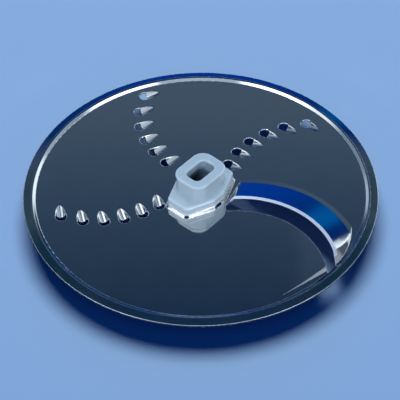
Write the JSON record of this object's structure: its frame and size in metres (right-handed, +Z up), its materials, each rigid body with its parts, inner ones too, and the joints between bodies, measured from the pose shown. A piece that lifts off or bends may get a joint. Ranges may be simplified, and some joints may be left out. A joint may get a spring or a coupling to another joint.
{
  "type": "food processor disc",
  "caption": "Reversible food processor disc: a round pressed steel sheet with a raised curved slicing blade, rows of grating scoops and a plastic drive hub.",
  "frame": {"origin": "on the drive axis, at the lower end of the hub, on which the disc stands", "axes": "+Z up along the drive axis with the slicing blade on the upper side, +X along the long side of the drive socket"},
  "size_m": [0.17, 0.17, 0.0311],
  "materials": {
    "polished_steel": "bright polished stainless steel, with a satin ground cutting edge",
    "hub_plastic": "smooth pale grey moulded plastic"
  },
  "bodies": {
    "root": {"cutting_disc": "polished_steel", "hub": "hub_plastic"}
  },
  "joints": []
}
